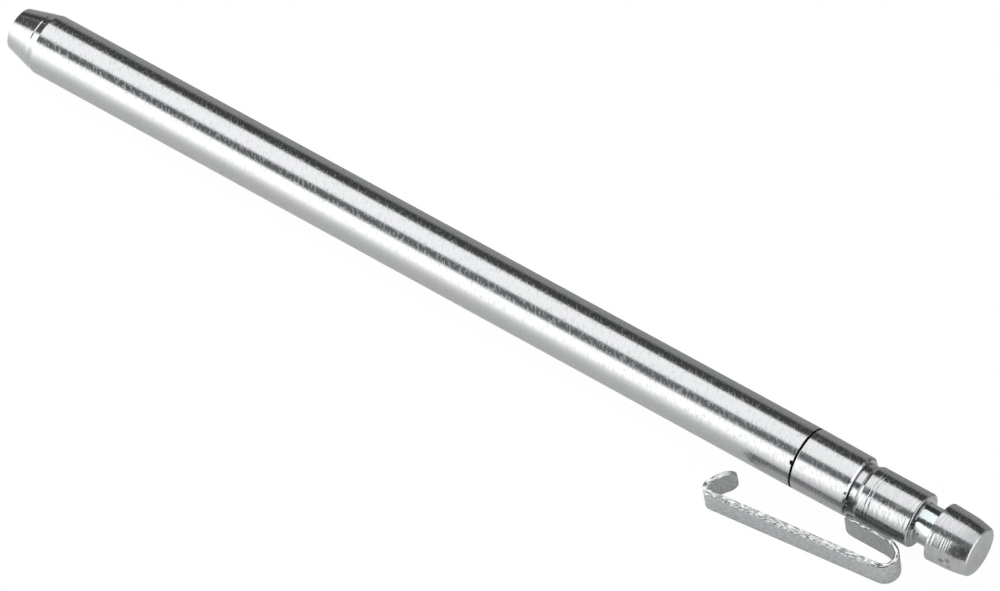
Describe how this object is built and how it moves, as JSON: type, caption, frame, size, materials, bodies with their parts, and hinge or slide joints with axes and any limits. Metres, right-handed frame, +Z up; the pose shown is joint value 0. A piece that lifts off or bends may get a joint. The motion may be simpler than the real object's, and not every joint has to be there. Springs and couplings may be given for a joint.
{
  "type": "hinge pin",
  "caption": "Straight plated-steel hinge pin with a conical lead-in and a stepped, grooved retaining end, lying with its loose bent flat-spring clip on edge beside it.",
  "frame": {"origin": "on the pin's axis, halfway along the shaft's full diameter, between the lead-in cone and the joint", "axes": "+X along the pin's axis towards the crowned head, +Z up from the surface that the pin and the clip lie on, clip on the -Y side"},
  "size_m": [0.1431, 0.0143, 0.008],
  "materials": {
    "plated_steel": "zinc plated, drawn shaft with a lightly mottled streaked sheen, turning marks on the steps",
    "spring_steel": "satin rolled strip with bright speckled sheared edges"
  },
  "bodies": {
    "root": {"pin_shaft": "plated_steel", "retaining_end": "plated_steel", "retaining_clip": "spring_steel"}
  },
  "joints": []
}
